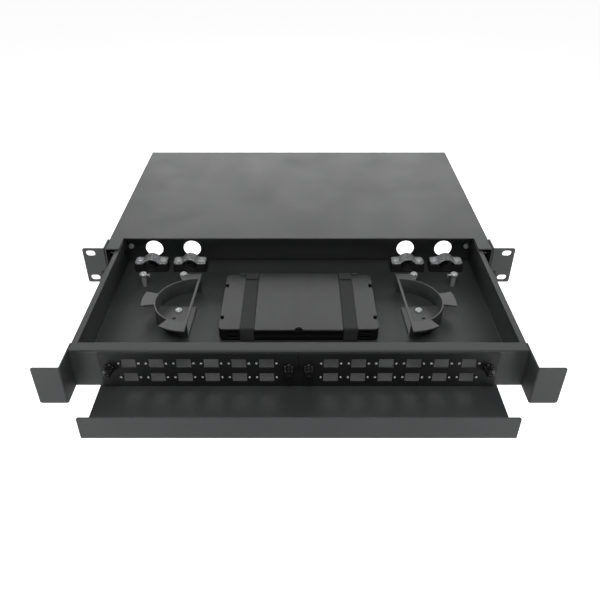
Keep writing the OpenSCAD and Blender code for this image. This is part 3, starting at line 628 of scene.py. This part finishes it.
def grommets():
    """Push-in grommets: a rounded flange in front of the panel and four barbed legs behind it."""
    mesh = bmesh.new()
    for points in solids_of("latch_grommets"):
        low, high = corners_of(points)
        flange_r = (high.x - low.x) / 2 - FLANGE_TRIM
        bore_r = min(math.hypot(p.x - (low.x + high.x) / 2, p.z - (low.z + high.z) / 2) for p in points) + 0.1
        barrel_r, barb_r = flange_r * 0.525, flange_r * 0.66
        back = FLANGE_T - (high.y - low.y)
        barb_back, barb_front, shaft_r = -4.0, -3.0, barrel_r - 0.05
        profile = [(bore_r, back), (barrel_r - 0.5, back), (barrel_r - 0.1, back + 0.8),
                   (shaft_r, barb_back - 0.9), (barb_r, barb_back), (barb_r, barb_front),
                   (shaft_r, barb_front + 0.25), (shaft_r, 0), (flange_r - 0.3, 0), (flange_r, 0.3),
                   (flange_r, 1.1), (flange_r - 0.25, 1.55), (flange_r - 0.9, FLANGE_T - 0.1),
                   (flange_r - 1.4, FLANGE_T), (flange_r - 1.9, FLANGE_T - 0.25),
                   (bore_r + 0.3, FLANGE_T - 0.25), (bore_r, FLANGE_T - 0.5)]
        cutter = cross_prism(((back - 1, 1), (barb_front - 0.1, 1)), 0.45, flange_r)
        ring = carved(lathe(profile, 56, closed=True), cutter, 0.1, 60)
        place = ((low.x + high.x) / 2, low.y + FLANGE_T, (low.z + high.z) / 2)
        stamp(mesh, ring, facing(place, (0, -1, 0)))
        ring.free()
    make_piece("grommets_moulded", mesh, "drawer", "black_plastic", ["latch_grommets"], [LATCH_BLACK])


def plunger(number):
    """A latch plunger: a shaft and a knob with three grip rings, finely ribbed around their edges."""
    node = "latch_plunger_%d" % number
    low, high = box_mm(node)
    knob_r = (high.x - low.x) / 2
    length = high.y - low.y
    shaft_r = knob_r * 0.383
    knob = KNOB_LEN
    back = knob - length
    profile = [(0, back), (shaft_r - 0.5, back), (shaft_r, back + 0.5), (shaft_r, 0), (knob_r * 0.72, 0)]
    step = (knob - 0.7) / 3
    for ring in range(3):
        radius = knob_r - 0.2 * ring
        base = 0.05 + step * ring
        profile += [(radius - 0.25, base), (radius, base + 0.25), (radius, base + step * 0.62),
                    (radius - 0.25, base + step * 0.74), (knob_r * 0.74, base + step * 0.82),
                    (knob_r * 0.72, base + step * 0.97)]
    crown = knob_r * 0.7
    profile += [(crown, knob - 0.5), (crown - 0.15, knob - 0.2), (crown - 0.5, knob), (crown * 0.5, knob),
                (crown * 0.42, knob - 0.3), (0, knob - 0.35)]

    def ribs(angle, radius):
        return radius - 0.09 * (0.5 + 0.5 * math.cos(30 * angle)) if radius > knob_r * 0.86 else radius

    mesh = bmesh.new()
    shape = lathe(profile, 120, wave=ribs)
    stamp(mesh, shape, facing(((low.x + high.x) / 2, low.y + knob, (low.z + high.z) / 2), (0, -1, 0)))
    shape.free()
    body = "latch_%d" % number
    make_piece("plunger_%d_ribbed" % number, mesh, body, "black_plastic", [node], [LATCH_BLACK], 30)


# ---------- Hook-and-loop straps ----------

def even_steps(path, step):
    """Points at even steps along a polyline."""
    out, left = [Vector(path[0])], step
    for a, b in zip(path, path[1:]):
        a, b = Vector(a), Vector(b)
        while (b - a).length >= left:
            a = a + (b - a).normalized() * left
            out.append(a)
            left = step
        left -= (b - a).length
    return out


def strap(side):
    """A woven band around the splice trays whose tail lies over its own start and is stitched down."""
    node = "strap_" + side
    low, high = box_mm(node)
    middle, half_w = (low.x + high.x) / 2, (high.x - low.x) / 2
    half_t = 0.5
    front, back, under, over = low.y + half_t, high.y - half_t, low.z + half_t, high.z - half_t - 0.1
    tail = back - 0.13 * (back - front)
    layer = 2 * half_t + 0.06
    upper = over + layer
    route = softened([(back - 2.2, over, 0), (front, over, 1.7), (front, under, 1.7), (back, under, 1.7),
                      (back, upper, 2.0), (tail + 3, upper, 2), (tail, upper + 0.35, 0)], 6)
    path = even_steps(route, STRAP_STEP)
    columns = 22
    loops = []
    count = len(path)
    for i, (place, normal) in enumerate(zip(path, left_normals(path))):
        along = i * STRAP_STEP
        end = min(along, (count - 1) * STRAP_STEP - along)
        width = half_w - 1.4 * max(0.0, 1 - end / 1.6) ** 2
        loop = []
        for face in (-1, 1):
            for k in range(columns + 1):
                across = -face * (1 - 2 * k / columns)
                u = across * width
                edge = width - abs(u)
                thick = half_t * math.sqrt(max(0.0, 1 - max(0.0, 1 - edge / 0.5) ** 2) * 0.94 + 0.06)
                weave = math.sin(math.pi * along / WEAVE) * math.sin(math.pi * (u + half_w) / WEAVE)
                selvedge = 0.07 if 0.3 < edge < 1.2 else 0.0
                relief = thick + (0.055 * weave if edge > 1.2 else selvedge)
                sag = 0.10 * math.sin(along / 17.0 + middle) * math.cos(math.pi * across / 2)
                out = -face * relief + sag * (0.5 if edge > 0.6 else 0.3)
                loop.append((middle + u, place.x + normal.x * out, place.y + normal.y * out))
        loops.append(loop)
    mesh = skin(loops)
    for row in (0, 1):
        for k in range(8):
            x = middle + half_w * 0.72 * (2 * k / 7 - 1)
            y = tail + 2.4 + 2.2 * row
            stitch = lathe([(0, -0.62), (0.16, -0.5), (0.19, 0), (0.16, 0.5), (0, 0.62)], 8)
            stamp(mesh, stitch, facing((x, y, upper + half_t + 0.04), (1, 0, 0)))
            stitch.free()
    make_piece(node + "_woven", mesh, "drawer", "strap_fabric", [node], crease=60)


# ---------- Assembly of the visible pieces ----------

for node_name, node_object in NODES.items():
    node_object.data.materials.clear()
    node_object.data.materials.append(NODE_MATERIALS.get(node_name, MATERIALS[SLOTS[node_name]]))

for width, node_names in EDGE_WIDTHS.items():
    for node_name in node_names:
        round_edges(node_name, width)

screws("saddle_screws", (0, 0, 1), "drawer", "chrome")
screws("post_screws", (0, 0, 1), "drawer", "chrome", dome=0.9, recess=0.3)
screws("spool_screws", (0, 0, 1), "drawer", "chrome")
screws("tray_screws", (0, 0, 1), "drawer", "slide_steel")
screws("corner_screws", (0, -1, 0), "drawer", "chrome", recess=0.4)
screws("bracket_screws", (1, 0, 0), "drawer", "zinc", outwards=True)
screws("ear_screws", (1, 0, 0), "chassis", "slide_steel", outwards=True)
cable_saddles()
grommets()
for latch in range(1, 5):
    plunger(latch)
for hand in ("left", "right"):
    adapter_nuts(hand)
    strap(hand)


# ---------- Floor, light and camera ----------

def camera_only(tree, strength):
    """A strength that only the camera sees, so that a white ground doesn't light the box."""
    seen = add(tree, "LightPath").outputs["Is Camera Ray"]
    return math_node(tree, "MULTIPLY", seen, strength)


def pale_floor():
    """A plain pale floor well below the box, so that its reflection and shadow stay soft."""
    drop = 0.30
    bpy.ops.mesh.primitive_plane_add(size=12, location=(0, 1.0, cad_box[0].z - drop))
    floor = bpy.context.object
    floor.name = "floor"
    material, tree, shader = new_material("floor")
    tone = ramp(tree, noise(tree, scaled_position(tree), 0.004), 0.3, 0.7, 0.0, 1.0)
    plug(tree, shader, "Base Color", mix_colour(tree, tone, grey(0.86), grey(0.88)))
    plug(tree, shader, "Emission Color", grey(1.0))
    plug(tree, shader, "Emission Strength", camera_only(tree, 0.95))
    shader.inputs["Roughness"].default_value = 0.9
    floor.data.materials.append(material)


def soft_light(name, place, target, size, power):
    """A large square area light that faces a point."""
    data = bpy.data.lights.new(name, "AREA")
    data.size = size
    data.energy = power
    light = bpy.data.objects.new(name, data)
    light.location = place
    light.rotation_mode = "QUATERNION"
    light.rotation_quaternion = (Vector(target) - Vector(place)).to_track_quat("-Z", "Y")
    bpy.context.scene.collection.objects.link(light)


def around(turn, rise, distance):
    """A place at a distance from the origin; turn is measured from the back towards the right."""
    turn, rise = math.radians(turn), math.radians(rise)
    flat = math.cos(rise)
    return Vector((math.sin(turn) * flat, math.cos(turn) * flat, math.sin(rise))) * distance


def studio():
    """White surroundings, three lights behind the box, one high in front and two low beside it."""
    world = bpy.data.worlds.new("studio")
    bpy.context.scene.world = world
    world.use_nodes = True
    tree = world.node_tree
    back = tree.nodes["Background"]
    back.inputs["Color"].default_value = grey(1.0)
    plug(tree, back, "Strength", math_node(tree, "ADD", camera_only(tree, 1.0), AMBIENT))
    for name, (turn, rise, size, power) in LIGHTS_AROUND.items():
        soft_light(name, around(turn, rise, LIGHT_DISTANCE), (0, 0, 0), size, power)
    for side in (-1, 1):
        soft_light("low_side", (side * LOW_SIDE_X, *LOW_SIDE_YZ), (0, 0, 0), LOW_SIDE_SIZE, LOW_SIDE_POWER)


def camera():
    """The viewing angle of a product picture: in front of the drawer, looking 35 degrees down."""
    data = bpy.data.cameras.new("camera")
    data.lens = 37.94
    data.shift_x = 0.0021
    item = bpy.data.objects.new("camera", data)
    item.location = (0, -0.6079, 0.3789)
    item.rotation_euler = (math.radians(90 - 35.05), 0, 0)
    bpy.context.scene.collection.objects.link(item)
    bpy.context.scene.camera = item


pale_floor()
studio()
camera()
bpy.context.scene.view_settings.view_transform = "Standard"
